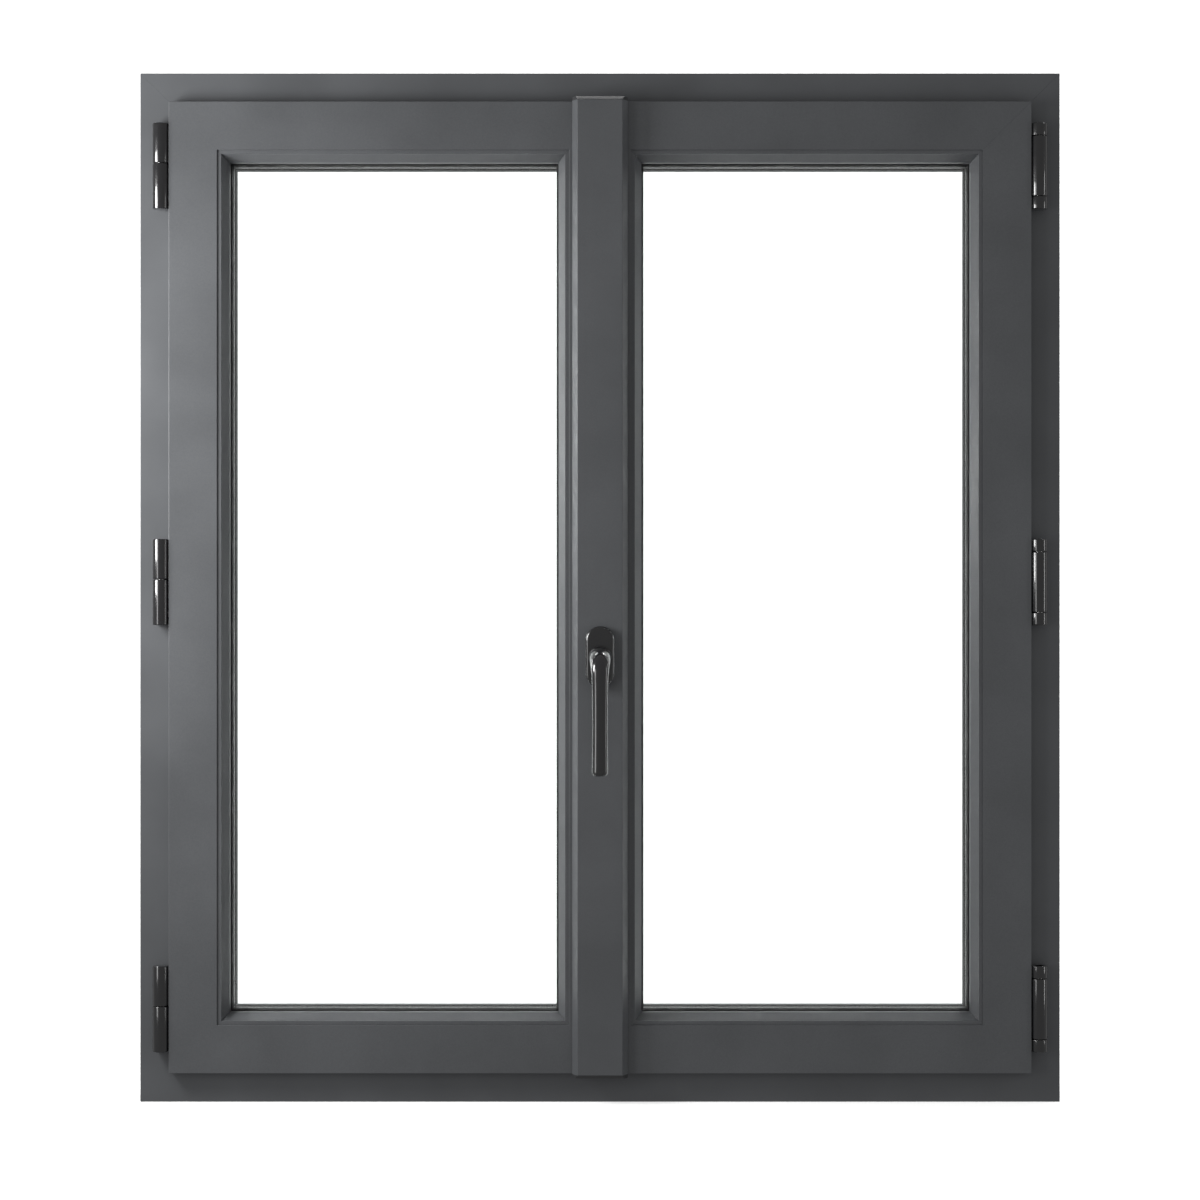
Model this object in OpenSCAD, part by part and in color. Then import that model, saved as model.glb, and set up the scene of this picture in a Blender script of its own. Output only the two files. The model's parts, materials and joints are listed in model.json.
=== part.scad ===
/* [Frame] */
// Width over the frame
frame_w = 1030; // [800:10:1500]
// Height over the frame
frame_h = 1152; // [800:2:1600]
// Depth of the frame, from its room face to its outside face
frame_d = 70; // [64:1:90]
// Width of the frame's hollow body, from the wall opening to the rebate
frame_body = 42; // [36:1:60]
// How far the outside stop stands into the opening past the body
stop_h = 20; // [16:1:24]
// Thickness of the outside stop
stop_t = 10; // [8:1:12]
// Depth of the frame's room-side shell
frame_room_shell = 24; // [20:1:28]
// Depth of the frame's outside shell
frame_out_shell = 24; // [20:1:28]
// Wall of every aluminium profile
wall = 2; // [1.5:0.1:2.6]

/* [Leaves] */
// How far a leaf's lip laps over the frame
lip_lap = 8; // [6:0.5:11]
// Thickness of the lip
lip_t = 12; // [10:0.5:16]
// Gap between the lip and the face that it laps over
lip_gap = 2; // [1.5:0.1:3]
// Air gap between the rebate and the edge of a leaf
chamber = 12; // [11:0.5:16]
// Gap between a leaf's outside face and the frame's stop
stop_gap = 4; // [3:0.5:6]
// Width of a leaf's hollow body
leaf_body = 34; // [28:1:50]
// Depth of a leaf's room-side shell
leaf_room_shell = 36; // [34:1:44]
// Depth of a leaf's outside shell
leaf_out_shell = 16; // [15:1:20]
// Body width of the active leaf's meeting stile
active_stile = 42; // [36:1:60]
// Body width of the passive leaf's meeting stile
passive_stile = 15; // [13:0.5:24]
// Gap between the passive leaf's face and the active leaf's lip
face_gap = 3; // [2:0.5:5]

/* [Glazing] */
// Width of a glazing bead
bead_w = 12; // [9:0.5:16]
// How far the bead sits back from the leaf's face
bead_step = 1.5; // [0.5:0.1:3]
// Width of inner gasket that shows past the bead
gasket_show = 2.5; // [1.5:0.1:4]
// Thickness of one pane
pane_t = 4; // [3:0.5:6]
// Gap between the two panes
cavity = 16; // [12:1:18]
// Thickness of the inner gasket
inner_gasket = 3; // [2:0.5:5]
// Thickness of the outer gasket
outer_gasket = 5; // [3:0.5:6]
// Thickness of the leaf's outside glazing lip
glazing_lip = 10; // [8:0.5:12]
// Gap round the edge of the sealed unit
glass_gap = 4; // [3:0.5:6]
// Width of the spacer between the panes
spacer_w = 6; // [5:0.5:8]
// Length of a setting block
block_l = 80; // [50:5:120]

/* [Hinges] */
// Radius of a hinge barrel
barrel_r = 9; // [8:0.5:12]
// Length of a hinge barrel
barrel_l = 96; // [80:1:130]
// Distance of the outer hinges from the frame's ends, to the barrel's middle
hinge_inset = 106; // [90:1:200]
// How far the middle hinge sits above the middle of the frame
hinge_rise = 6; // [-40:1:40]
// Gap between the barrel and the leaf's edge, and between the barrel and the frame's face
barrel_gap = 1; // [0.5:0.1:2]
// Gap between two knuckles
knuckle_gap = 0.4; // [0.3:0.1:1]
// Share of a two-part hinge that is the frame's knuckle
lower_share = 0.53; // [0.4:0.01:0.6]
// Length of each end knuckle of a three-part hinge
end_knuckle = 14; // [10:1:24]
// Radius of a hinge pin
pin_r = 4; // [3:0.5:5]
// Radial running clearance of a pin in its bush
pin_clearance = 0.05; // [0.02:0.01:0.1]
// Wall of a hinge bush
bush_wall = 1.2; // [0.8:0.1:1.5]
// Thickness of a hinge's plate in the leaf's edge
plate_t = 1.6; // [1:0.1:1.8]

/* [Batten] */
// Width over the back of the cover batten
batten_w = 62; // [56:1:90]
// Width of its front face
batten_face = 50; // [40:1:80]
// Thickness of the batten
batten_t = 14; // [10:1:20]
// How far the batten runs past the leaves at each end
batten_past = 4; // [0:0.5:8]
// Length of the sloped end caps
cap_l = 4; // [3:0.5:8]

/* [Handle] */
// Height of the spindle above the frame's underside
handle_z = 499; // [400:1:700]
// Distance from the spindle to the edge of the active leaf
backset = 7.5; // [7.5:0.5:15]
// Width of the handle's plate
rosette_w = 32; // [28:1:40]
// Length of the handle's plate
rosette_l = 68; // [60:1:90]
// Thickness of the handle's plate
rosette_t = 10; // [8:0.5:14]
// Diameter of the lever's neck
neck_d = 24; // [20:1:26]
// Width of the lever
lever_w = 18; // [14:1:24]
// Thickness of the lever's grip
lever_t = 12; // [9:0.5:16]
// Distance from the spindle to the lever's tip
lever_l = 130; // [100:1:160]
// Distance from the handle's plate to the back of the grip
finger_gap = 30; // [24:1:40]
// Width across the square spindle
spindle_w = 7; // [7:1:8]
// Distance between the handle's two screws
screw_pitch = 43; // [43:1:60]

/* [Gear] */
// Module of the rack and pinion
gear_module = 1.25; // [1:0.25:1.5]
// Number of teeth on the pinion
pinion_teeth = 12; // [12:1:14]
// Backlash, as the width taken off each pinion tooth
backlash = 0.3; // [0.2:0.05:0.5]
// Thickness of the racks and rods, front to back
rod_t = 8; // [6:0.5:10]
// Width of the racks' and rods' bars
rod_w = 3; // [2.5:0.5:4]
// How far a closed rod or bolt reaches into its keep
bolt_reach = 8; // [6:0.5:9]
// Travel of the passive leaf's flush bolts
bolt_travel = 12; // [10:0.5:14]

/* [Fixing] */
// Radius of the fixing holes through the jambs
fixing_r = 4; // [3:0.5:5]
// Distance of the outer fixing holes from the frame's ends
fixing_inset = 176; // [150:1:290]
// Distance of the inner fixing holes from the frame's ends
inner_fixing_inset = 436; // [320:1:500]
// Distance of the fixing holes from the frame's room face
fixing_y = 13; // [9:1:15]

/* [Hidden] */
$fn = 48;

paint = "#55585b";
black = "#17181a";
rubber = "#1c1c1d";
steel = "#b4b6b8";
far = 400;
fit_gap = 0.3;
strip_t = 2.5;
mitre_gap = 0.2;

// Depths, measured from the frame's room face towards the outside
stop_front = frame_d - stop_t;
leaf_back = stop_front - stop_gap;
leaf_front = -(lip_gap + lip_t);
shell_back = leaf_front + leaf_room_shell;
out_front = leaf_back - leaf_out_shell;
glass_back = leaf_back - glazing_lip - outer_gasket;
glass_front = glass_back - 2 * pane_t - cavity;
bead_back = glass_front - inner_gasket;
bead_front = leaf_front + bead_step;

// Distances in from the frame's outer edge
lip_u = frame_body - lip_lap;
leaf_u = frame_body + chamber;
platform_u = leaf_u + leaf_body;
sight_step = bead_w + gasket_show;
sight_u = platform_u + sight_step;

// Meeting joint, from left to right, with the spindle at x = 0
active_edge = -backset;
passive_wall = active_edge - chamber;
active_lip = passive_wall - lip_lap;
passive_face = active_lip - face_gap;
active_platform = active_edge + active_stile;
passive_platform = passive_wall - passive_stile;

half_w = frame_w / 2;
batten_half = batten_w / 2;

// The two sight rectangles: [x0, z0, x1, z1]
left_sight = [-half_w + sight_u, sight_u, passive_platform - sight_step, frame_h - sight_u];
right_sight = [active_platform + sight_step, sight_u, half_w - sight_u, frame_h - sight_u];
frame_sight = [-half_w + frame_body + stop_h, frame_body + stop_h,
  half_w - frame_body - stop_h, frame_h - frame_body - stop_h];

// Hinges
axis_x = half_w - lip_u + barrel_gap / 2 + barrel_r;
axis_y = -(barrel_r + barrel_gap);
hinge_heights = [hinge_inset, frame_h / 2 + hinge_rise, frame_h - hinge_inset];
bush_r = pin_r + pin_clearance + bush_wall;
split_z = barrel_l * (lower_share - 0.5);
mid_half = barrel_l / 2 - end_knuckle - knuckle_gap;

// Gear
pitch_r = gear_module * pinion_teeth / 2;
rack_pitch = PI * gear_module;
gear_travel = pitch_r * PI / 2;
rack_root = pitch_r + 1.25 * gear_module;
rod_back = rack_root + rod_w;
gear_y = 9;
case_wall = 1.5;
case_top = 34;
case_bottom = 44;
case_right = rod_back + case_wall + fit_gap;
rack_end = 7;
jog_z = handle_z - rack_end - 2 * gear_travel - 1;
rod_tip = leaf_u - bolt_reach;
bolt_x = passive_wall - passive_stile / 2;
bolt_y = (shell_back + out_front) / 2;
bolt_w = passive_stile - 2 * strip_t - 2;
bolt_l = 150;
active_edge_v = active_edge - active_platform - sight_step;
active_lip_v = active_lip - active_platform - sight_step;
press_gap = 0.02;
stud_play = 0.2;
screw_r = 2;
screw_play = 0.1;
screw_l = 6;
handle_hole_r = 2.6;
handle_head_r = 4.4;
cover_t = 3;
head_seat = 6;
cap_end = lip_u - batten_past;

// Bars lie along X, with the profile's depth on Y and its distance from the outer edge on Z
module bar(length) rotate([90, 0, 90]) linear_extrude(length, center = true) children();

// A plate drawn in X and Z, with its middle at depth y
module plate(depth, y = 0) translate([0, y, 0]) rotate([90, 0, 0])
  linear_extrude(depth, center = true) children();

// The trapezoid that one side takes between 45 degree lines from the sight rectangle r
function wedge(side, r, d) =
  side == "top" ? [[r[0], r[3]], [r[2], r[3]], [r[2] + d, r[3] + d], [r[0] - d, r[3] + d]] :
  side == "bottom" ? [[r[0], r[1]], [r[2], r[1]], [r[2] + d, r[1] - d], [r[0] - d, r[1] - d]] :
  side == "left" ? [[r[0], r[1]], [r[0], r[3]], [r[0] - d, r[3] + d], [r[0] - d, r[1] - d]] :
  [[r[2], r[1]], [r[2], r[3]], [r[2] + d, r[3] + d], [r[2] + d, r[1] - d]];

// Turns a bar that runs along the bottom of box [x0, z0, x1, z1] to the named side
module to_side(side, box) {
  mid_x = (box[0] + box[2]) / 2;
  mid_z = (box[1] + box[3]) / 2;
  if (side == "bottom") translate([mid_x, 0, box[1]]) children();
  if (side == "top") translate([mid_x, 0, box[3]]) mirror([0, 0, 1]) children();
  if (side == "left") translate([box[0], 0, mid_z]) rotate([0, 90, 0]) children();
  if (side == "right") translate([box[2], 0, mid_z]) rotate([0, -90, 0]) children();
}

// One mitred side of a ring: the profile is measured outwards (-u) from the sight rectangle r
module ring_side(side, r, gap = 0) {
  span = 2 * (frame_w + frame_h);
  g = gap / 2;
  intersection() {
    to_side(side, r) bar(span) children();
    plate(far) polygon(wedge(side,
      side == "top" || side == "bottom" ? [r[0] + g, r[1], r[2] - g, r[3]] :
      [r[0], r[1] + g, r[2], r[3] - g], 2 * sight_u));
  }
}
module ring(r, gap = mitre_gap) for (side = ["top", "bottom", "left", "right"])
  ring_side(side, r, gap) children();

// Profiles: x is depth, y is the distance from the sight line, which is negative outwards
module frame_profile(inset) {
  u = frame_body + stop_h;
  polygon([[inset, inset - u], [frame_room_shell - inset, inset - u],
    [frame_room_shell - inset, -stop_h - inset], [inset, -stop_h - inset]]);
  polygon([[frame_d - frame_out_shell + inset, inset - u], [frame_d - inset, inset - u],
    [frame_d - inset, -inset], [stop_front + inset, -inset],
    [stop_front + inset, -stop_h - inset], [frame_d - frame_out_shell + inset, -stop_h - inset]]);
}
module leaf_profile(inset, edge = leaf_u - sight_u, lip = lip_u - sight_u) {
  polygon([[leaf_front + inset, lip + inset], [-lip_gap - inset, lip + inset],
    [-lip_gap - inset, edge + inset], [shell_back - inset, edge + inset],
    [shell_back - inset, -sight_step - inset], [leaf_front + inset, -sight_step - inset]]);
  out_profile(edge, inset);
}
module out_profile(edge, inset) polygon([[out_front + inset, edge + inset],
  [leaf_back - inset, edge + inset], [leaf_back - inset, -inset],
  [leaf_back - glazing_lip + inset, -inset], [leaf_back - glazing_lip + inset, -sight_step - inset],
  [out_front + inset, -sight_step - inset]]);
module hollow() difference() {
  children(0);
  children(1);
}

// Frame
module frame_side(side) ring_side(side, frame_sight) hollow() {
  frame_profile(0);
  frame_profile(wall);
}
module frame_head() color(paint) frame_side("top");
module frame_sill() color(paint) frame_side("bottom");
module fixing_holes() for (inset = [fixing_inset, inner_fixing_inset], z = [inset, frame_h - inset])
  translate([0, fixing_y, z]) rotate([0, 90, 0]) cylinder(r = fixing_r, h = 2 * frame_w, center = true);
module at_hinges(s) for (z = hinge_heights) translate([s * axis_x, axis_y, z]) children();
stud_r = 3;
stud_l = 7;
stud_inset = 10;
module studs(z0, z1, r) for (z = [z0 + stud_inset, z1 - stud_inset]) translate([0, -axis_y - 1, z])
  rotate([-90, 0, 0]) cylinder(r = r, h = stud_l);
module hinge_stud_holes(s) at_hinges(s)
  if (s < 0) studs(-barrel_l / 2, split_z, stud_r + stud_play);
  else studs(-mid_half, mid_half, stud_r + stud_play);
module frame_left_jamb() color(paint) difference() {
  frame_side("left");
  fixing_holes();
  hinge_stud_holes(-1);
}
module frame_right_jamb() color(paint) difference() {
  frame_side("right");
  fixing_holes();
  hinge_stud_holes(1);
}
module strips(front, back, outer, inner) for (v = [outer, inner - strip_t])
  polygon([[front, v], [back, v], [back, v + strip_t], [front, v + strip_t]]);
module frame_thermal_breaks() color(black) ring(frame_sight)
  strips(frame_room_shell, frame_d - frame_out_shell, wall - frame_body - stop_h, -stop_h);

// An L-shaped corner cleat for a rail and a stile of the given widths. Its arms run past the sight
// corner by arm.
leaf_arm_l = 60;
module cleat(x, z, sx, sz, rail, stile, y0, y1, off, arm) {
  inset = wall + fit_gap;
  translate([x, (y0 + y1) / 2, z]) mirror([sx < 0 ? 1 : 0, 0, 0]) mirror([0, 0, sz < 0 ? 1 : 0])
    plate(y1 - y0 - 2 * inset) polygon([[off + inset, off + inset], [off + inset, -arm],
      [off + stile - inset, -arm], [off + stile - inset, off + rail - inset],
      [-arm, off + rail - inset], [-arm, off + inset]]);
}
module cleats(r, rail, stile_0, stile_1, y0, y1, off, arm) for (side = [0, 1], end = [0, 1])
  cleat(side == 0 ? r[0] : r[2], end == 0 ? r[1] : r[3], side == 0 ? -1 : 1, end == 0 ? -1 : 1,
    rail, side == 0 ? stile_0 : stile_1, y0, y1, off, arm);
module frame_corner_cleats() color("silver") {
  cleats(frame_sight, frame_body, frame_body, frame_body, 0, frame_room_shell, stop_h, 0);
  cleats(frame_sight, frame_body, frame_body, frame_body, frame_d - frame_out_shell, frame_d, stop_h,
    0);
}
module frame_stop_gasket() color(rubber) ring(frame_sight) polygon([[stop_front, -stop_h + 5],
  [stop_front, -4], [leaf_back + fit_gap, -7], [leaf_back + fit_gap, -11]]);

module keep() {
  half = 7;
  depth = 7;
  t = 2;
  difference() {
    translate([-half, -depth, 0]) cube([2 * half, 2 * depth, bolt_reach]);
    translate([t - half, -depth - 1, t]) cube([2 * (half - t), 2 * depth - t + 1, bolt_reach]);
  }
}
rod_x = -rod_back + rod_w / 2;
module frame_keeps() color("silver") for (at = [[rod_x, gear_y], [bolt_x, bolt_y]])
  translate([at[0], at[1], 0]) {
    translate([0, 0, frame_body]) keep();
    translate([0, 0, frame_h - frame_body]) mirror([0, 0, 1]) keep();
  }
drain_cap_l = 40;
drain_cap_half = 8;
module drain_caps() color(black) for (x = [-frame_w / 4, frame_w / 4])
  translate([x, frame_d, frame_body / 2]) rotate([0, 90, 0]) linear_extrude(drain_cap_l, center = true)
    polygon([[-drain_cap_half, 0], [drain_cap_half, 0], [drain_cap_half, 2], [drain_cap_half - 2, 4],
      [-drain_cap_half, 1]]);

// Left leaf, passive
function left_region(side, r) =
  let (s = passive_wall - r[2], d = 2 * sight_u)
  side == "top" ? [[r[0], r[3]], [r[2], r[3]], [passive_wall, r[3] + s], [passive_wall, r[3] + d],
    [r[0] - d, r[3] + d]] :
  side == "bottom" ? [[r[0], r[1]], [r[2], r[1]], [passive_wall, r[1] - s], [passive_wall, r[1] - d],
    [r[0] - d, r[1] - d]] :
  wedge(side, r, d);
function right_region(side, r) =
  let (d = sight_u - lip_u)
  side == "left" ? [[r[0], r[1]], [r[0], r[3]], [r[0] - d, r[3] + d], [active_lip, r[3] + d],
    [active_lip, r[1] - d], [r[0] - d, r[1] - d]] :
  wedge(side, r, 2 * sight_u);
function trim_sight(side, r, g) = side == "top" || side == "bottom" ?
  [r[0] + g, r[1], r[2] - g, r[3]] : [r[0], r[1] + g, r[2], r[3] - g];

module left_member(side, gap = 0) difference() {
  intersection() {
    to_side(side, left_sight) bar(2 * frame_h) children();
    plate(far) polygon(left_region(side, trim_sight(side, left_sight, gap / 2)));
  }
  if (side != "right") translate([passive_face, -far, 0]) cube([far, far, frame_h]);
}
module right_member(side, gap = 0) difference() {
  intersection() {
    to_side(side, right_sight) bar(2 * frame_h) children();
    plate(far) polygon(right_region(side, trim_sight(side, right_sight, gap / 2)));
  }
  if (side == "left") for (z = [leaf_u - far, frame_h - leaf_u])
    translate([-far, -lip_gap, z]) cube([2 * far, far, far]);
}
module slab(x0, x1, z0 = 0, z1 = frame_h) translate([x0, -far / 2, z0]) cube([x1 - x0, far, z1 - z0]);

module left_rail(side) difference() {
  left_member(side) leaf_profile(0);
  intersection() {
    to_side(side, left_sight) bar(frame_w) leaf_profile(wall);
    slab(-half_w, passive_platform - wall);
  }
  intersection() {
    to_side(side, left_sight) bar(frame_w) {
      polygon([[wall, leaf_u - sight_u + wall], [shell_back - wall, leaf_u - sight_u + wall],
        [shell_back - wall, -sight_step - wall], [wall, -sight_step - wall]]);
      out_profile(leaf_u - sight_u, wall);
    }
    slab(-half_w, passive_wall - wall);
  }
}
module left_top_rail() color(paint) left_rail("top");
module left_bottom_rail() color(paint) left_rail("bottom");
// A hinge's plate lies in the leaf's edge: distances here are from the hinge axis
edge_x = barrel_r + barrel_gap / 2;
plate_y = leaf_front + 1 - axis_y;
plate_w = lip_t - 2;
module hinge_plate(s, out, depth) translate([s > 0 ? -edge_x - depth : edge_x - out, plate_y,
  -barrel_l / 2]) cube([depth + out, plate_w, barrel_l]);
function screw_heights(s) = s < 0 ? [-36, -12] : [-24, 24];
module plate_screws(s, r, start, length) for (z = screw_heights(s))
  translate([-s * (edge_x + start), plate_y + plate_w / 2, z]) rotate([0, -s * 90, 0])
    cylinder(r = r, h = length);
module hinge_stile_cuts(s) at_hinges(s) {
  hinge_plate(s, 0.2, plate_t);
  plate_screws(s, screw_r + screw_play, -1, screw_l + 2);
}
module left_hinge_stile() color(paint) difference() {
  left_member("left") hollow() {
    leaf_profile(0);
    leaf_profile(wall);
  }
  hinge_stile_cuts(-1);
}
passive_edge_v = -sight_step - passive_stile;
module passive_profile(inset) {
  nib_v = passive_platform - passive_face - sight_step;
  if (inset == 0) polygon([[leaf_front, nib_v], [0, nib_v], [0, passive_edge_v],
    [shell_back, passive_edge_v], [shell_back, -sight_step], [leaf_front, -sight_step]]);
  else polygon([[inset, passive_edge_v + inset], [shell_back - inset, passive_edge_v + inset],
    [shell_back - inset, -sight_step - inset], [inset, -sight_step - inset]]);
  out_profile(passive_edge_v, inset);
}
module left_meeting_stile() color(paint) left_member("right") hollow() {
  passive_profile(0);
  passive_profile(wall);
}
// The polyamide strips join a leaf profile's two aluminium shells
module leaf_strips(edge_v) strips(shell_back, out_front, edge_v, -sight_step);
module left_thermal_breaks() color(black) difference() {
  union() {
    for (side = ["top", "bottom", "left"]) left_member(side, mitre_gap) leaf_strips(leaf_u - sight_u);
    left_member("right", mitre_gap) leaf_strips(passive_edge_v);
  }
  for (z = [0, frame_h]) translate([bolt_x, bolt_y, z])
    cube([bolt_w + 1, bolt_w + 1, 2 * (platform_u + strip_t)], center = true);
  for (z = [tab_z, frame_h - tab_z]) translate([passive_wall, bolt_y, z])
    cube([4 * strip_t, tab_w + 1, 2 * bolt_travel + 12], center = true);
}
module left_corner_cleats() color("silver") {
  cleats(left_sight, leaf_body, leaf_body, passive_stile, 0, shell_back, sight_step,
    leaf_arm_l);
  cleats(left_sight, leaf_body, leaf_body, passive_stile, out_front, leaf_back, sight_step,
    leaf_arm_l);
}

// Glazing, the same on both leaves
bead_nose = 4.5;
bead_step_back = 1.2;
bead_slope_end = 2;
bead_wall = 1.5;
module bead_profile() {
  v = -sight_step;
  polygon([[bead_front, v], [bead_front, v + bead_nose], [bead_front + bead_step_back, v + bead_nose],
    [bead_slope_end, v + bead_w], [bead_back, v + bead_w], [bead_back, v]]);
}
module bead_hollow() {
  v = -sight_step;
  front = bead_front + bead_step_back + bead_wall;
  polygon([[front, v + bead_wall], [front, v + bead_nose - 1], [bead_slope_end + 1, v + bead_w - bead_wall],
    [bead_back - bead_wall, v + bead_w - bead_wall], [bead_back - bead_wall, v + bead_wall]]);
}
module beads(r) ring(r) hollow() {
  bead_profile();
  bead_hollow();
}
module panes(r) {
  over = sight_step - glass_gap;
  for (y = [glass_front, glass_back - pane_t]) translate([r[0] - over, y, r[1] - over])
    cube([r[2] - r[0] + 2 * over, pane_t, r[3] - r[1] + 2 * over]);
}
module spacer(r) ring(r) polygon([[glass_front + pane_t, -spacer_w - 1],
  [glass_back - pane_t, -spacer_w - 1], [glass_back - pane_t, -1], [glass_front + pane_t, -1]]);
module glazing_gaskets(r) {
  deep = -sight_step + 6;
  ring(r) polygon([[bead_back, deep], [glass_front, deep], [glass_front, 0], [glass_front - 1.5, -0.2],
    [bead_back - 2, 1.2 - gasket_show], [bead_back - 2, -gasket_show], [bead_back, -gasket_show]]);
  ring(r) polygon([[glass_back, deep], [leaf_back - glazing_lip, deep],
    [leaf_back - glazing_lip, -0.6], [glass_back + 1, 0], [glass_back, 0]]);
}
module setting_blocks(r) {
  x0 = r[0] - sight_step;
  x1 = r[2] + sight_step;
  z0 = platform_u;
  z1 = frame_h - platform_u;
  depth = glass_back - glass_front;
  for (x = [x0 + block_l, x1 - 2 * block_l]) translate([x, glass_front, z0])
    cube([block_l, depth, glass_gap]);
  for (z = [z0 + block_l, z1 - 2 * block_l], x = [x0, x1 - glass_gap])
    translate([x, glass_front, z]) cube([glass_gap, depth, block_l]);
}
module left_beads() color(paint) beads(left_sight);
module right_beads() color(paint) beads(right_sight);
module left_panes() color("lightblue", 0.4) panes(left_sight);
module right_panes() color("lightblue", 0.4) panes(right_sight);
module left_spacer() color("silver") spacer(left_sight);
module right_spacer() color("silver") spacer(right_sight);
module left_glazing_gaskets() color(rubber) glazing_gaskets(left_sight);
module right_glazing_gaskets() color(rubber) glazing_gaskets(right_sight);
module left_setting_blocks() color(black) setting_blocks(left_sight);
module right_setting_blocks() color(black) setting_blocks(right_sight);
module overlap_profile(lip_v) polygon([[-lip_gap, lip_v + 2], [-fit_gap, lip_v + 3],
  [-fit_gap, lip_v + 6], [-lip_gap, lip_v + 7]]);
module left_overlap_gasket() color(rubber) for (side = ["top", "bottom", "left"])
  left_member(side, mitre_gap) overlap_profile(lip_u - sight_u);
module right_overlap_gasket() color(rubber) {
  for (side = ["top", "bottom", "right"])
    right_member(side, mitre_gap) overlap_profile(lip_u - sight_u);
  right_member("left", mitre_gap) overlap_profile(active_lip_v);
}

// Hinges: the origin is on the hinge axis at the barrel's middle
module barrel(z0, z1, bore, b0, b1, foot) difference() {
  union() {
    translate([0, 0, z0]) cylinder(r = barrel_r, h = z1 - z0);
    if (foot) {
      translate([-7, 0, z0]) cube([14, -axis_y, z1 - z0]);
      studs(z0, z1, stud_r);
    }
  }
  translate([0, 0, b0]) cylinder(r = bore, h = b1 - b0);
}
closed_end = 4;
module left_hinge_frame_parts() color(black) at_hinges(-1)
  barrel(-barrel_l / 2, split_z, pin_r + press_gap, -barrel_l / 2 + closed_end, barrel_l, true);
module right_hinge_frame_parts() color(black) at_hinges(1)
  barrel(-mid_half, mid_half, pin_r + press_gap, -barrel_l, barrel_l, true);
module left_hinge_pins() color(steel) at_hinges(-1)
  translate([0, 0, closed_end - barrel_l / 2]) cylinder(r = pin_r, h = barrel_l - 2 * closed_end);
module right_hinge_pins() color(steel) at_hinges(1)
  cylinder(r = pin_r, h = barrel_l, center = true);
module leaf_arm(s, z0, z1) translate([s > 0 ? -edge_x - plate_t : 0, plate_y, z0])
  cube([edge_x + plate_t, plate_w, z1 - z0]);
head_r = 3.4;
head_h = 0.8;
module hinge_leaf_part(s) difference() {
  union() {
    hinge_plate(s, 0, plate_t);
    children();
  }
  plate_screws(s, screw_r + screw_play, -1, screw_l + 2);
  plate_screws(s, head_r + screw_play, -1, 1 + head_h + screw_play);
}
upper_z = split_z + knuckle_gap;
module left_hinge_leaf_parts() color(black) at_hinges(-1) hinge_leaf_part(-1) difference() {
  union() {
    translate([0, 0, upper_z]) cylinder(r = barrel_r, h = barrel_l / 2 - upper_z);
    leaf_arm(-1, upper_z, barrel_l / 2);
  }
  translate([0, 0, upper_z - 1])
    cylinder(r = bush_r + press_gap, h = barrel_l / 2 - closed_end - upper_z + 1);
}
module right_hinge_leaf_parts() color(black) at_hinges(1) hinge_leaf_part(1) difference() {
  for (z = [-barrel_l / 2, barrel_l / 2 - end_knuckle]) {
    translate([0, 0, z]) cylinder(r = barrel_r, h = end_knuckle);
    leaf_arm(1, z, z + end_knuckle);
  }
  cylinder(r = bush_r + press_gap, h = 2 * barrel_l, center = true);
}
module bush(z0, z1) translate([0, 0, z0]) difference() {
  cylinder(r = bush_r, h = z1 - z0);
  translate([0, 0, -1]) cylinder(r = pin_r + pin_clearance, h = z1 - z0 + 2);
}
module left_hinge_bushes() color("white") at_hinges(-1) bush(upper_z, barrel_l / 2 - closed_end);
module right_hinge_bushes() color("white") at_hinges(1)
  for (z = [-barrel_l / 2, barrel_l / 2 - end_knuckle]) bush(z, z + end_knuckle);
module hinge_screws(s) at_hinges(s) {
  plate_screws(s, head_r, 0, head_h);
  plate_screws(s, screw_r, 0, screw_l);
}
module left_hinge_screws() color(steel) hinge_screws(-1);
module right_hinge_screws() color(steel) hinge_screws(1);

// Passive leaf's cover strip and flush bolts
module outer_cover_strip() color(paint) translate([0, 0, frame_body + stop_h + 1])
  linear_extrude(frame_h - 2 * (frame_body + stop_h + 1)) polygon([
    [passive_platform + 2, leaf_back], [passive_wall - 1, leaf_back],
    [passive_wall - 1, leaf_back + 1.5], [0.5, leaf_back + 1.5], [0.5, leaf_back + 4],
    [passive_platform + 4, leaf_back + 4], [passive_platform + 2, leaf_back + 2]]);
tab_z = rod_tip + 100;
tab_w = 6;
guide_l = 24;
module bolt() {
  translate([bolt_x - bolt_w / 2, bolt_y - bolt_w / 2, rod_tip]) cube([bolt_w, bolt_w, bolt_l]);
  translate([bolt_x, bolt_y - tab_w / 2, tab_z - 4]) cube([passive_wall + 2 - bolt_x, tab_w, 8]);
}
module top_flush_bolt() color(steel) translate([0, 0, frame_h]) mirror([0, 0, 1]) bolt();
module bottom_flush_bolt() color(steel) bolt();
module guide() difference() {
  translate([bolt_x, bolt_y, platform_u + guide_l / 2])
    cube([passive_stile - 2 * strip_t, out_front - shell_back, guide_l], center = true);
  translate([bolt_x, bolt_y, platform_u])
    cube([bolt_w + 2 * fit_gap, bolt_w + 2 * fit_gap, 4 * guide_l], center = true);
}
module flush_bolt_guides() color(black) {
  guide();
  translate([0, 0, frame_h]) mirror([0, 0, 1]) guide();
}

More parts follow.
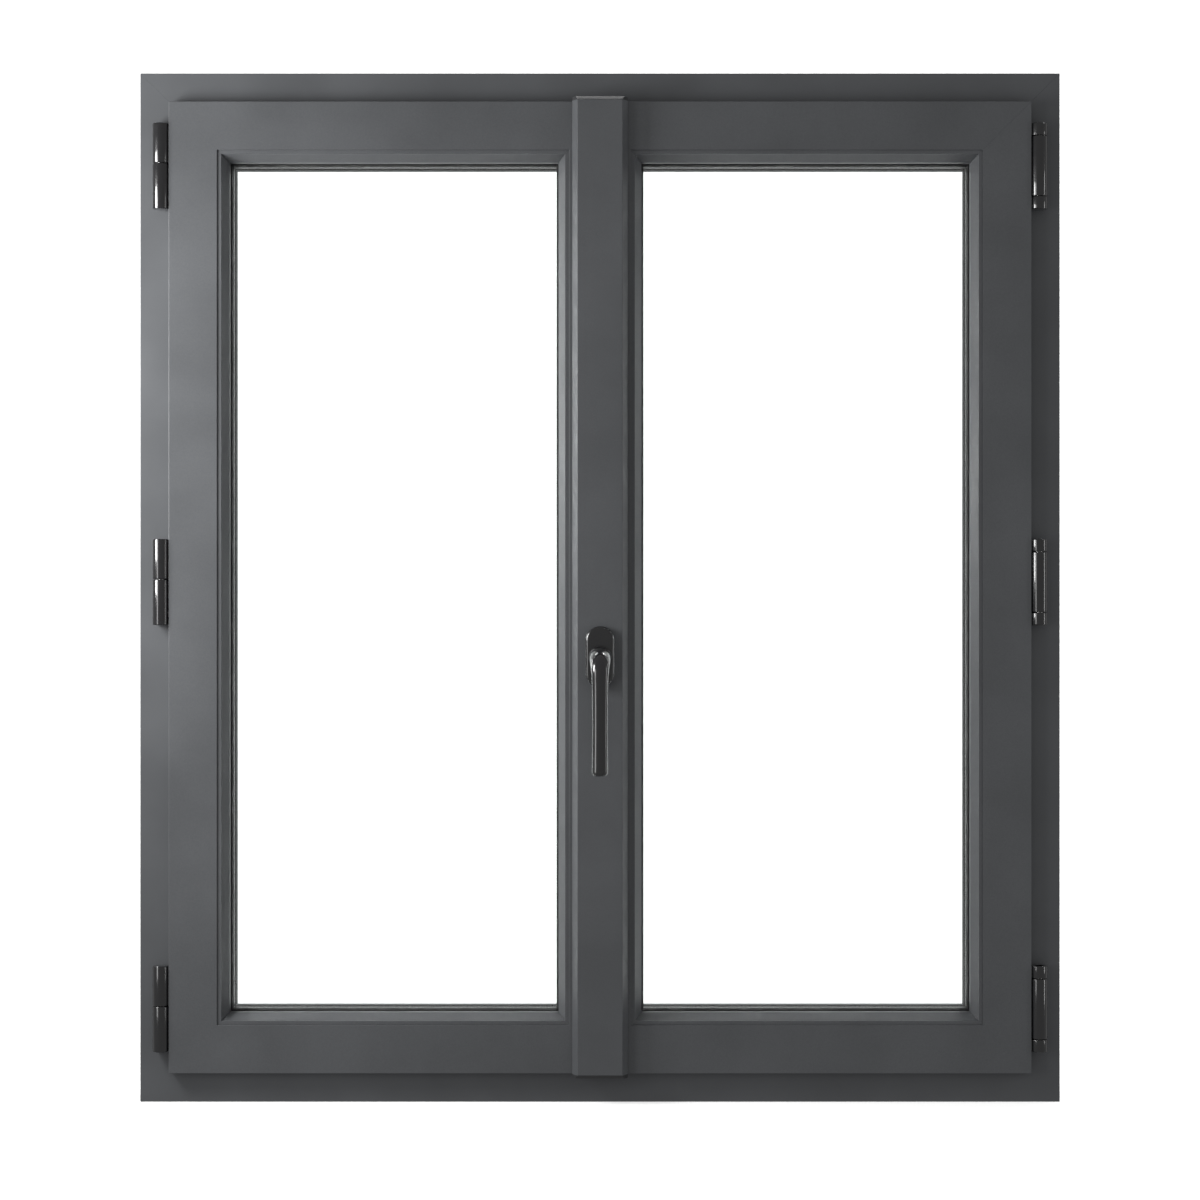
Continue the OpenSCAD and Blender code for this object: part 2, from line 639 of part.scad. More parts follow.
// Right leaf, active
module right_rail(side) right_member(side) hollow() {
  leaf_profile(0);
  leaf_profile(wall);
}
module right_top_rail() color(paint) right_rail("top");
module right_bottom_rail() color(paint) right_rail("bottom");
module right_hinge_stile() color(paint) difference() {
  right_rail("right");
  hinge_stile_cuts(1);
}
case_front = 0;
case_back = 2 * gear_y;
module handle_holes(r, y0, y1) for (z = [-screw_pitch / 2, screw_pitch / 2])
  translate([0, y0, handle_z + z]) rotate([-90, 0, 0]) cylinder(r = r, h = y1 - y0);
spindle_hole_r = 6;
module spindle_bore(y0, y1) translate([0, y0, handle_z]) rotate([-90, 0, 0])
  cylinder(r = spindle_hole_r, h = y1 - y0);
module right_meeting_stile() color(paint) difference() {
  right_member("left") leaf_profile(0, active_edge_v, active_lip_v);
  intersection() {
    to_side("left", right_sight) bar(2 * frame_h) leaf_profile(wall, active_edge_v, active_lip_v);
    slab(active_edge, active_platform + sight_step, leaf_u + wall, frame_h - leaf_u - wall);
  }
  translate([active_lip + wall, leaf_front + wall, lip_u + wall])
    cube([active_edge + wall - active_lip - wall, lip_t - 2 * wall, frame_h - 2 * (lip_u + wall)]);
  translate([active_edge - 1, case_front - fit_gap, handle_z - case_bottom - fit_gap])
    cube([wall + 2, case_back + 2 * fit_gap, case_top + case_bottom + 2 * fit_gap]);
  spindle_bore(leaf_front - 1, leaf_front + wall + 1);
  handle_holes(handle_hole_r, leaf_front - 1, leaf_front + wall + 1);
}
module right_thermal_breaks() color(black) {
  for (side = ["top", "bottom", "right"])
    right_member(side, mitre_gap) leaf_strips(leaf_u - sight_u);
  right_member("left", mitre_gap) leaf_strips(active_edge_v);
}
module right_corner_cleats() color("silver") {
  cleats(right_sight, leaf_body, leaf_body, leaf_body, 0, shell_back, sight_step,
    leaf_arm_l);
  cleats(right_sight, leaf_body, leaf_body, leaf_body, out_front, leaf_back, sight_step,
    leaf_arm_l);
}

// Batten: the outline is drawn in X and Y, and its back clears the passive leaf
batten_back = leaf_front - 0.8;
batten_front = leaf_front - batten_t;
module batten_outline() polygon([[-batten_half, batten_back], [active_lip + 1, batten_back],
  [active_lip + 1, leaf_front], [batten_half, leaf_front], [batten_half, batten_back - 2],
  [batten_face / 2, batten_front], [-batten_face / 2, batten_front], [-batten_half, batten_back - 2]]);
module batten() color(paint) difference() {
  translate([0, 0, cap_end + cap_l]) linear_extrude(frame_h - 2 * (cap_end + cap_l)) difference() {
    batten_outline();
    polygon([[5 - batten_half, batten_back - wall], [batten_half - 5, batten_back - wall],
      [batten_face / 2 - 2, batten_front + wall], [2 - batten_face / 2, batten_front + wall]]);
  }
  spindle_bore(batten_front - 1, leaf_front + 1);
  handle_holes(handle_hole_r, batten_front - 1, leaf_front + 1);
}
module batten_cap() intersection() {
  translate([0, 0, cap_end]) linear_extrude(cap_l) batten_outline();
  rotate([90, 0, 90]) linear_extrude(far, center = true) polygon([[leaf_front, cap_end],
    [batten_front + 4, cap_end], [batten_front, cap_end + cap_l], [leaf_front, cap_end + cap_l]]);
}
module batten_end_caps() color(black) {
  batten_cap();
  translate([0, 0, frame_h]) mirror([0, 0, 1]) batten_cap();
}

// Gear: racks and rods are drawn in X and Z, with the spindle at handle_z
module gearbox_case() color(steel) difference() {
  translate([-case_right, case_front, handle_z - case_bottom])
    cube([2 * case_right, case_back - case_front, case_top + case_bottom]);
  translate([case_wall - case_right, case_front + case_wall, handle_z - case_bottom + case_wall])
    cube([2 * (case_right - case_wall), case_back - case_front - 2 * case_wall,
      case_top + case_bottom - 2 * case_wall]);
  translate([-rod_back - fit_gap, gear_y - rod_t / 2 - fit_gap, 0])
    cube([rod_w + 2 * fit_gap, rod_t + 2 * fit_gap, frame_h]);
  translate([0, case_front - 1, handle_z]) rotate([-90, 0, 0])
    cylinder(r = spindle_hole_r + pin_clearance, h = case_back - case_front + 2);
  handle_holes(screw_r + screw_play, case_front - 1, case_front + case_wall + 1);
}
tooth_w = rack_pitch / 2;
tan_pa = tan(20);
module rack_tooth(side) {
  root = tooth_w / 2 + 1.25 * gear_module * tan_pa - 0.05;
  tip = tooth_w / 2 - gear_module * tan_pa;
  back = rack_root + rod_w / 2;
  crest = pitch_r - gear_module;
  rotate(side > 0 ? 0 : 180) polygon([[crest, -tip], [rack_root, -root], [back, -root],
    [back, root], [rack_root, root], [crest, tip]]);
}
rack_steps = ceil((gear_travel + 6) / rack_pitch);
module upper_rod() color(steel) plate(rod_t, gear_y) {
  polygon([[-rod_back, handle_z - rack_end], [-rack_root, handle_z - rack_end],
    [-rack_root, frame_h - rod_tip], [-rod_back, frame_h - rod_tip]]);
  for (i = [-1:rack_steps]) translate([0, handle_z + i * rack_pitch]) rack_tooth(-1);
}
module lower_rod() color(steel) plate(rod_t, gear_y) {
  polygon([[-rod_back, rod_tip], [-rack_root, rod_tip], [-rack_root, jog_z - rod_w],
    [rod_back, jog_z - rod_w], [rod_back, handle_z + rack_end], [rack_root, handle_z + rack_end],
    [rack_root, jog_z], [-rod_back, jog_z]]);
  for (i = [-rack_steps:1]) translate([0, handle_z + i * rack_pitch]) rack_tooth(1);
}
base_r = pitch_r * cos(20);
outer_r = pitch_r + gear_module;
root_r = pitch_r - 1.25 * gear_module;
function involute_angle(r) = r <= base_r ? 0 :
  let (a = acos(base_r / r)) tan(a) * 180 / PI - a;
half_tooth = 90 / pinion_teeth + involute_angle(pitch_r) - backlash / 2 / pitch_r * 180 / PI;
module pinion_tooth() {
  radii = [root_r - 0.3, base_r, pitch_r - 0.4, pitch_r, pitch_r + gear_module / 2, outer_r];
  left = [for (r = radii) let (a = half_tooth - involute_angle(r)) [r * cos(a), r * sin(a)]];
  right = [for (i = [len(radii) - 1:-1:0]) [left[i][0], -left[i][1]]];
  polygon(concat(left, right));
}
module pinion() color(steel) difference() {
  union() {
    plate(rod_t, gear_y) translate([0, handle_z]) {
      circle(r = root_r);
      for (i = [0:pinion_teeth - 1]) rotate((i + 0.5) * 360 / pinion_teeth) pinion_tooth();
    }
    translate([0, case_front, handle_z]) rotate([-90, 0, 0])
      cylinder(r = spindle_hole_r, h = case_back - case_front);
  }
  spindle_socket(case_front - 1, case_back + 1);
}
module spindle_socket(y0, y1) translate([-spindle_w / 2 - pin_clearance, y0,
  handle_z - spindle_w / 2 - pin_clearance])
  cube([spindle_w + 2 * pin_clearance, y1 - y0, spindle_w + 2 * pin_clearance]);
rod_guide_l = 20;
rod_guide_wall = 3;
function spaced(low, high, count) = [for (i = [1:count]) low + (high - low) * i / (count + 1)];
guide_heights = concat(spaced(platform_u, handle_z - case_bottom - rod_guide_l, 2),
  spaced(handle_z + case_top, frame_h - platform_u - rod_guide_l, 3));
module rod_guides() color(black) for (z = guide_heights) difference() {
  translate([-rod_back - case_wall, gear_y - rod_t / 2 - rod_guide_wall, z])
    cube([rod_back + case_wall - backset, rod_t + 2 * rod_guide_wall, rod_guide_l]);
  translate([-rod_back - fit_gap, gear_y - rod_t / 2 - fit_gap, z - 1])
    cube([rod_w + 2 * fit_gap, rod_t + 2 * fit_gap, rod_guide_l + 2]);
}

// Handle
plate_back = batten_front;
plate_front = plate_back - rosette_t;
grip_back = plate_front - finger_gap;
collar_r = 8;
socket_end = 4;
spindle_end = 6;
module handle_plate() color(black) difference() {
  plate(rosette_t, plate_back - rosette_t / 2) translate([0, handle_z]) {
    square([rosette_w, rosette_l - rosette_w], center = true);
    for (z = [-1, 1]) translate([0, z * (rosette_l - rosette_w) / 2]) circle(r = rosette_w / 2);
  }
  translate([0, plate_front - 1, handle_z]) rotate([-90, 0, 0])
    cylinder(r = collar_r + pin_clearance, h = rosette_t + 2);
  handle_holes(handle_hole_r, plate_front + cover_t, plate_back + 1);
  handle_holes(handle_head_r + stud_play, plate_front + cover_t, plate_front + head_seat);
}
module handle_screws() color(steel) {
  handle_holes(handle_head_r, plate_front + cover_t + stud_play, plate_front + head_seat);
  handle_holes(screw_r, plate_front + head_seat - 1, case_front + case_wall);
}
module handle_lever() color(black) difference() {
  union() {
    translate([0, grip_back, handle_z]) rotate([-90, 0, 0])
      cylinder(r = neck_d / 2, h = finger_gap - fit_gap);
    translate([0, grip_back, handle_z]) rotate([-90, 0, 0])
      cylinder(r = collar_r, h = finger_gap + rosette_t);
    plate(lever_t, grip_back - lever_t / 2) translate([0, handle_z]) {
      circle(r = neck_d / 2);
      translate([-lever_w / 2, lever_w / 2 - lever_l]) square([lever_w, lever_l - lever_w / 2]);
      translate([0, lever_w / 2 - lever_l]) circle(r = lever_w / 2);
    }
  }
  spindle_socket(grip_back + socket_end, plate_back + 1);
}
module handle_spindle() color(steel)
  translate([-spindle_w / 2, grip_back + spindle_end, handle_z - spindle_w / 2])
    cube([spindle_w, case_back - grip_back - spindle_end, spindle_w]);

frame_head();
frame_sill();
frame_left_jamb();
frame_right_jamb();
frame_thermal_breaks();
frame_corner_cleats();
frame_stop_gasket();
frame_keeps();
drain_caps();
left_hinge_frame_parts();
right_hinge_frame_parts();
left_hinge_pins();
right_hinge_pins();
left_top_rail();
left_bottom_rail();
left_hinge_stile();
left_meeting_stile();
left_thermal_breaks();
left_corner_cleats();
left_beads();
left_panes();
left_spacer();
left_glazing_gaskets();
left_setting_blocks();
left_overlap_gasket();
left_hinge_leaf_parts();
left_hinge_bushes();
left_hinge_screws();
outer_cover_strip();
flush_bolt_guides();
top_flush_bolt();
bottom_flush_bolt();
right_top_rail();
right_bottom_rail();
right_hinge_stile();
right_meeting_stile();
right_thermal_breaks();
right_corner_cleats();
right_beads();
right_panes();
right_spacer();
right_glazing_gaskets();
right_setting_blocks();
right_overlap_gasket();
right_hinge_leaf_parts();
right_hinge_bushes();
right_hinge_screws();
batten();
batten_end_caps();
gearbox_case();
rod_guides();
handle_plate();
handle_screws();
handle_lever();
handle_spindle();
pinion();
upper_rod();
lower_rod();
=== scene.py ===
"""Casement window: edges, hardware, finishes and studio, laid out as an add-on."""
import json
import math

import bmesh
import bpy
from mathutils import Matrix, Vector

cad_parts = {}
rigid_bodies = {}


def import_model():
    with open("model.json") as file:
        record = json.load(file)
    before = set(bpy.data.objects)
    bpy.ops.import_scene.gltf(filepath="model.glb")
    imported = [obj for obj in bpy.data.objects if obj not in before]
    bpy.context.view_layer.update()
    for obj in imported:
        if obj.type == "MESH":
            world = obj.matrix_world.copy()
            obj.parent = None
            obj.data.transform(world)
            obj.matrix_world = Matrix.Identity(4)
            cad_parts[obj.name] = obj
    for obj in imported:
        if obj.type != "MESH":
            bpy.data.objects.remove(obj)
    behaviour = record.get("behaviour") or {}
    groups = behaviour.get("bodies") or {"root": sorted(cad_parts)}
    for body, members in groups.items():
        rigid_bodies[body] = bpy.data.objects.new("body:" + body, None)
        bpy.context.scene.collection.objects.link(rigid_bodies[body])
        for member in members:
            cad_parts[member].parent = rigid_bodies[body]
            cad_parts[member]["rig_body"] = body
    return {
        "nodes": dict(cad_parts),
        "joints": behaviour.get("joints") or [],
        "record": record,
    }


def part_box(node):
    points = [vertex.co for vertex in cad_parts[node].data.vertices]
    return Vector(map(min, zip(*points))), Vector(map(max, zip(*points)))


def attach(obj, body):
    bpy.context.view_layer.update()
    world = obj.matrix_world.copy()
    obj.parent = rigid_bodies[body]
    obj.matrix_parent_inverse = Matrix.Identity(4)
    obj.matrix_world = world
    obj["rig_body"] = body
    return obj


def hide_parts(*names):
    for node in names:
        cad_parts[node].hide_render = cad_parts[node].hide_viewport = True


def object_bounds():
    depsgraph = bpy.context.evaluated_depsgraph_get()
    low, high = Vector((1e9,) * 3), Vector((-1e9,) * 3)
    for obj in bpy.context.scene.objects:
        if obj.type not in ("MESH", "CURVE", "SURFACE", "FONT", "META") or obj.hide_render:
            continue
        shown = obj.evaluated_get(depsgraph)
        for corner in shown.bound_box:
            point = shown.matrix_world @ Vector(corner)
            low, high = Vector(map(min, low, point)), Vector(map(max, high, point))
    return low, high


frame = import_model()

bl_info = {
    "name": "Casement Window",
    "version": (1, 0, 0),
    "blender": (4, 5, 0),
    "location": "View3D > Sidebar > Window",
    "description": "Builds the finished window round its packed frame",
    "category": "Object",
}

CAD_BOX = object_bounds()
MM = 0.001
RECORD = frame["record"]
NODES = frame["nodes"]

PROFILE_NODES = (
    "frame_head", "frame_sill", "frame_left_jamb", "frame_right_jamb",
    "left_top_rail", "left_bottom_rail", "left_hinge_stile", "left_meeting_stile",
    "right_top_rail", "right_bottom_rail", "right_hinge_stile", "right_meeting_stile",
)
BEAD_NODES = ("left_beads", "right_beads")
COVER_NODES = ("batten", "batten_end_caps", "outer_cover_strip")

# Profiles: shorter edges stay sharp, and mitres get a hairline.
SHORTEST_EDGE = 6 * MM
MITRE_EDGE = 0.2 * MM

# Hinges
SPLIT_HEIGHT = 0.15             # solids of one hinge node lie further apart than this along Z
KNUCKLE_GAP = 0.4 * MM
END_STEP = 0.5 * MM             # from a knuckle's end to its foot's or arm's
BLOCK_EDGE = 0.8 * MM
FOOT_HALF_WIDTH = 7 * MM
FOOT_SETBACK = 2 * MM           # from the hinge's axis to the foot's near face
FOOT_BACK_Y = -0.05 * MM        # just clear of the frame's face at y = 0
LEAF_PLATE_Y = (-13 * MM, -3 * MM)
LEAF_PLATE_THICKNESS = 1.6 * MM
LEAF_PLATE_EDGE = 0.25 * MM
ARM_STEP = 0.6 * MM             # from the plate's face to the arm's

# Lever, whose line runs from 0 at the plate to 1 at the tip
HUB_RADIUS = 7.9 * MM
HUB_INSET = 1 * MM
PLATE_CLEARANCE = 0.3 * MM
NECK_RADIUS = 12.8 * MM
NECK_LENGTH = 6 * MM
BEND_DROP = 20 * MM
BEND_END = 0.34
WIDENING_END = 0.4
WAIST_START = 0.35
WAIST_DEPTH = 0.07
GRIP_BOW = 2.5 * MM
TIP_LENGTH = 5 * MM
LEVER_STEPS = 34
TIP_STEPS = 8

# Each lamp's place, aim and size in metres, with heights from the window's middle
LAMPS = {
    "key": ((-1.0, -0.36, 0.28), (-0.3, 0, 0.2), (0.3, 0.5)),
    "side": ((-1.5, -1.3, 0), (0, 0, 0), (0.45, 1.1)),
    "rim": ((1.6, -0.45, 0), (0, 0, 0), (0.12, 1.2)),
    "backdrop": ((0, 0.75, 2.124), (0, 1.9, 0.024), (3.5, 0.5)),
}
VIEW_DROP = 14 * MM             # the camera's place below the window's middle


def joint(name):
    """The record's row for one joint."""
    return next(row for row in frame["joints"] if row["name"] == name)


# ---------------------------------------------------------------- settings

class WindowFinish(bpy.types.PropertyGroup):
    coat_colour: bpy.props.FloatVectorProperty(
        name="Coat colour", description="Colour of the powder coat", subtype="COLOR",
        size=4, min=0, max=1, default=(0.105, 0.11, 0.117, 1))
    coat_fleck: bpy.props.FloatVectorProperty(
        name="Coat fleck", description="Lighter grains in the powder coat", subtype="COLOR",
        size=4, min=0, max=1, default=(0.125, 0.13, 0.137, 1))
    coat_roughness: bpy.props.FloatProperty(
        name="Coat roughness", description="Mean roughness of the powder coat", subtype="FACTOR",
        min=0, max=1, default=0.42)
    hardware_colour: bpy.props.FloatVectorProperty(
        name="Hardware colour", description="Colour of hinges and handle", subtype="COLOR",
        size=4, min=0, max=1, default=(0.008, 0.008, 0.009, 1))
    seal_colour: bpy.props.FloatVectorProperty(
        name="Seal colour", description="Colour of the rubber seals", subtype="COLOR",
        size=4, min=0, max=1, default=(0.012, 0.012, 0.012, 1))


class WindowShape(bpy.types.PropertyGroup):
    profile_edge: bpy.props.FloatProperty(
        name="Profile edge", description="Rounding of the frame and leaf profiles",
        unit="LENGTH", min=0.0001, max=0.002, default=0.6 * MM)
    bead_edge: bpy.props.FloatProperty(
        name="Bead edge", description="Rounding of the glazing beads",
        unit="LENGTH", min=0.0001, max=0.001, default=0.3 * MM)
    cover_edge: bpy.props.FloatProperty(
        name="Cover edge", description="Rounding of the batten and cover strip",
        unit="LENGTH", min=0.0001, max=0.002, default=0.7 * MM)
    barrel_edge: bpy.props.FloatProperty(
        name="Barrel edge", description="Rounding of the hinge knuckles",
        unit="LENGTH", min=0.0002, max=0.003, default=1.1 * MM)
    plate_edge: bpy.props.FloatProperty(
        name="Plate edge", description="Rounding of the handle's plate",
        unit="LENGTH", min=0.0005, max=0.006, default=3.5 * MM)
    grip_width: bpy.props.FloatProperty(
        name="Grip width", description="Widest part of the lever's grip",
        unit="LENGTH", min=0.012, max=0.022, default=18 * MM)
    grip_thickness: bpy.props.FloatProperty(
        name="Grip thickness", description="Thickness of the lever's grip, front to back",
        unit="LENGTH", min=0.008, max=0.014, default=12 * MM)


class StudioLight(bpy.types.PropertyGroup):
    key_power: bpy.props.FloatProperty(
        name="Key power", description="Power of the soft light close to the left side",
        subtype="POWER", min=0, max=500, default=10)
    side_power: bpy.props.FloatProperty(
        name="Side power", description="Power of the wide light that streaks the lever",
        subtype="POWER", min=0, max=100, default=6)
    rim_power: bpy.props.FloatProperty(
        name="Rim power", description="Power of the narrow light on the right-hand edges",
        subtype="POWER", min=0, max=100, default=2.5)
    back_power: bpy.props.FloatProperty(
        name="Backdrop power", description="Power of the light on the backdrop",
        subtype="POWER", min=0, max=500, default=70)
    sky_strength: bpy.props.FloatProperty(
        name="Ambient", description="Strength of the even light all round",
        min=0, max=3, default=0.3)
    floor_glow: bpy.props.FloatProperty(
        name="Floor glow", description="Light that the floor and backdrop give off by themselves",
        min=0, max=2, default=0.62)
    camera_distance: bpy.props.FloatProperty(
        name="Camera distance", description="From the lens to the frame's room face",
        unit="LENGTH", min=1, max=10, default=3.1)
    view_width: bpy.props.FloatProperty(
        name="View width", description="Width that the view takes in at the frame's face",
        unit="LENGTH", min=0.5, max=5, default=1.344)


# ---------------------------------------------------------------- meshes

def keep_sharp(bm, degrees):
    """Smooth sides and flat caps, with a hard edge where the surface turns by more."""
    for face in bm.faces:
        face.smooth = len(face.verts) <= 4
    for edge in bm.edges:
        if len(edge.link_faces) == 2:
            edge.smooth = edge.calc_face_angle(0) < math.radians(degrees)


def round_edges(bm, edges, radius, segments=2):
    bmesh.ops.bevel(
        bm, geom=edges, offset=radius, offset_type="OFFSET", segments=segments, profile=0.5,
        affect="EDGES", clamp_overlap=True, material=-1)


def sharp_edges(bm, mitred=False, degrees=20):
    """Long edges that turn sharply: along X or Z, or the slanted ones of the mitres."""
    found = []
    for edge in bm.edges:
        length = edge.calc_length()
        run = edge.verts[1].co - edge.verts[0].co
        if (len(edge.link_faces) == 2 and length > SHORTEST_EDGE
                and abs(run.y) < 0.01 * length
                and (max(abs(run.x), abs(run.z)) < 0.99 * length) == mitred
                and edge.calc_face_angle(0) > math.radians(degrees)):
            found.append(edge)
    return found


def piece_from(bm, node, slot):
    """Makes the mesh an object that rides on the node's body and stands for the node."""
    mesh = bpy.data.meshes.new(node + "_finished")
    bm.to_mesh(mesh)
    bm.free()
    piece = bpy.data.objects.new(node + "_finished", mesh)
    bpy.context.scene.collection.objects.link(piece)
    mesh.materials.append(FINISHES[slot])
    body = NODES[node]["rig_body"]
    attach(piece, body)
    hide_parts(node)


def edged_piece(node, radius):
    """A copy of a node whose long edges are rounded, so that they catch the light."""
    bm = bmesh.new()
    bm.from_mesh(NODES[node].data)
    bmesh.ops.remove_doubles(bm, verts=bm.verts, dist=0.002 * MM)
    bmesh.ops.dissolve_limit(
        bm, angle_limit=math.radians(0.5), verts=bm.verts, edges=bm.edges,
        use_dissolve_boundaries=False)
    round_edges(bm, sharp_edges(bm), radius)
    round_edges(bm, sharp_edges(bm, mitred=True), MITRE_EDGE, 1)
    for face in bm.faces:
        face.smooth = False
    piece_from(bm, node, slot_of(node))


def add_box(bm, low, high, radius):
    """A block between two corners, with its edges rounded."""
    low, high = Vector(low), Vector(high)
    size = Matrix.Diagonal((*(high - low), 1))
    middle = Matrix.Translation((low + high) / 2)
    made = bmesh.ops.create_cube(bm, size=1, matrix=middle @ size)
    edges = list({e for v in made["verts"] for e in v.link_edges})
    round_edges(bm, edges, radius)


def add_barrel(bm, x, y, low, high, across, radius):
    """A turned knuckle that stands on Z, with its rims rounded."""
    height = high - low
    made = bmesh.ops.create_cone(
        bm, cap_ends=True, segments=64, radius1=across, radius2=across, depth=height,
        matrix=Matrix.Translation((x, y, low + height / 2)))
    edges = {e for v in made["verts"] for e in v.link_edges}
    rims = [e for e in edges if abs(e.verts[0].co.z - e.verts[1].co.z) < height / 2]
    round_edges(bm, rims, radius, 4)


# ---------------------------------------------------------------- finishes

def new_material(name, colour, roughness, metallic=0.0):
    """A material with its node tree and its Principled shader."""
    material = bpy.data.materials.new(name)
    material.use_nodes = True
    shader = material.node_tree.nodes["Principled BSDF"]
    shader.inputs["Base Color"].default_value = colour
    shader.inputs["Roughness"].default_value = roughness
    shader.inputs["Metallic"].default_value = metallic
    return material, material.node_tree, shader


def noise(tree, scale, detail, stretch=(1, 1, 1)):
    """A Noise texture on Object coordinates."""
    place = tree.nodes.new("ShaderNodeTexCoord")
    mapping = tree.nodes.new("ShaderNodeMapping")
    mapping.inputs["Scale"].default_value = stretch
    texture = tree.nodes.new("ShaderNodeTexNoise")
    texture.inputs["Scale"].default_value = scale
    texture.inputs["Detail"].default_value = detail
    tree.links.new(place.outputs["Object"], mapping.inputs["Vector"])
    tree.links.new(mapping.outputs["Vector"], texture.inputs["Vector"])
    return texture.outputs["Fac"]


def spread(tree, value, low, high, start=0.3, end=0.7):
    """Maps a texture's value onto a range."""
    node = tree.nodes.new("ShaderNodeMapRange")
    node.inputs["From Min"].default_value = start
    node.inputs["From Max"].default_value = end
    node.inputs["To Min"].default_value = low
    node.inputs["To Max"].default_value = high
    tree.links.new(value, node.inputs["Value"])
    return node.outputs["Result"]


def ramp(tree, value, low_colour, high_colour, start=0.35, end=0.65):
    node = tree.nodes.new("ShaderNodeValToRGB")
    node.color_ramp.elements[0].position = start
    node.color_ramp.elements[0].color = low_colour
    node.color_ramp.elements[1].position = end
    node.color_ramp.elements[1].color = high_colour
    tree.links.new(value, node.inputs["Fac"])
    return node.outputs["Color"]


def bump(tree, shader, value, depth, strength):
    node = tree.nodes.new("ShaderNodeBump")
    node.inputs["Strength"].default_value = strength
    node.inputs["Distance"].default_value = depth
    tree.links.new(value, node.inputs["Height"])
    tree.links.new(node.outputs["Normal"], shader.inputs["Normal"])


def powder_coat():
    finish = bpy.context.scene.window_finish
    rough = finish.coat_roughness
    material, tree, shader = new_material("powder_coat", finish.coat_colour, rough)
    grain = noise(tree, scale=1400, detail=2)
    cloud = noise(tree, scale=9, detail=4)
    colour = tree.nodes.new("ShaderNodeMix")
    colour.data_type = "RGBA"
    colour.blend_type = "MULTIPLY"
    colour.inputs["Factor"].default_value = 1
    tree.links.new(ramp(tree, grain, finish.coat_colour, finish.coat_fleck), colour.inputs["A"])
    shade = ramp(tree, cloud, (0.86, 0.86, 0.86, 1), (1, 1, 1, 1))
    tree.links.new(shade, colour.inputs["B"])
    tree.links.new(colour.outputs["Result"], shader.inputs["Base Color"])
    tree.links.new(spread(tree, cloud, rough - 0.04, rough + 0.05), shader.inputs["Roughness"])
    bump(tree, shader, grain, depth=0.02 * MM, strength=0.5)
    return material


def gloss_black():
    finish = bpy.context.scene.window_finish
    material, tree, shader = new_material("gloss_black", finish.hardware_colour, 0.17)
    shader.inputs["Coat Weight"].default_value = 1
    shader.inputs["Coat Roughness"].default_value = 0.08
    handled = noise(tree, scale=60, detail=5)
    tree.links.new(spread(tree, handled, 0.13, 0.26), shader.inputs["Roughness"])
    bump(tree, shader, noise(tree, scale=500, detail=2), depth=0.01 * MM, strength=0.35)
    return material


def seal_rubber():
    finish = bpy.context.scene.window_finish
    material, tree, shader = new_material("seal_rubber", finish.seal_colour, 0.6)
    dust = noise(tree, scale=120, detail=5)
    tree.links.new(
        ramp(tree, dust, finish.seal_colour, (0.026, 0.026, 0.025, 1), start=0.45, end=0.75),
        shader.inputs["Base Color"])
    tree.links.new(spread(tree, dust, 0.5, 0.72), shader.inputs["Roughness"])
    bump(tree, shader, noise(tree, scale=900, detail=2), depth=0.02 * MM, strength=0.4)
    return material


def moulded_plastic(name, colour, fleck):
    material, tree, shader = new_material(name, colour, 0.5)
    grain = noise(tree, scale=700, detail=3)
    tree.links.new(ramp(tree, grain, colour, fleck), shader.inputs["Base Color"])
    tree.links.new(spread(tree, grain, 0.42, 0.58), shader.inputs["Roughness"])
    bump(tree, shader, grain, depth=0.03 * MM, strength=0.4)
    return material


def drawn_metal(name, colour, dark, roughness, stretch):
    """Bare metal with fine lines along its length."""
    material, tree, shader = new_material(name, colour, roughness, 1.0)
    lines = noise(tree, scale=300, detail=4, stretch=stretch)
    bloom = noise(tree, scale=25, detail=4)
    sheen = spread(tree, lines, roughness - 0.1, roughness + 0.1)
    tree.links.new(ramp(tree, bloom, dark, colour), shader.inputs["Base Color"])
    tree.links.new(sheen, shader.inputs["Roughness"])
    bump(tree, shader, lines, depth=0.01 * MM, strength=0.4)
    return material


def clear_glass():
    material, tree, shader = new_material("clear_glass", (0.97, 0.99, 0.985, 1), 0.0)
    shader.inputs["Transmission Weight"].default_value = 1
    shader.inputs["IOR"].default_value = 1.5
    haze = spread(tree, noise(tree, scale=6, detail=3), 0.0, 0.012)
    tree.links.new(haze, shader.inputs["Roughness"])
    return material


FINISHES = {}


def make_finishes():
    FINISHES.update(
        grey_powder_coat=powder_coat(),
        black_hinge=gloss_black(),
        rubber_seal=seal_rubber(),
        black_polyamide=moulded_plastic(
            "black_polyamide", (0.014, 0.014, 0.015, 1), (0.022, 0.022, 0.023, 1)),
        cap_plastic=moulded_plastic(
            "cap_plastic", (0.03, 0.031, 0.033, 1), (0.04, 0.041, 0.043, 1)),
        white_acetal=moulded_plastic(
            "white_acetal", (0.74, 0.74, 0.71, 1), (0.8, 0.8, 0.78, 1)),
        zinc_steel=drawn_metal(
            "zinc_steel", (0.62, 0.62, 0.6, 1), (0.5, 0.5, 0.5, 1), 0.34, (1, 1, 0.05)),
        mill_aluminium=drawn_metal(
            "mill_aluminium", (0.75, 0.76, 0.77, 1), (0.66, 0.67, 0.68, 1), 0.4,
            (1, 1, 0.1)),
        glass=clear_glass())
    FINISHES["black_handle"] = FINISHES["black_hinge"]


def slot_of(node):
    return next(row["material_slot"] for row in RECORD["subparts"] if row["node"] == node)


# ---------------------------------------------------------------- operators

class WINDOW_OT_finishes(bpy.types.Operator):
    """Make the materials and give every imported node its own"""
    bl_idname = "window.finishes"
    bl_label = "Finishes"

    def execute(self, context):
        make_finishes()
        for name, node in NODES.items():
            node.data.materials.clear()
            node.data.materials.append(FINISHES[slot_of(name)])
        return {"FINISHED"}


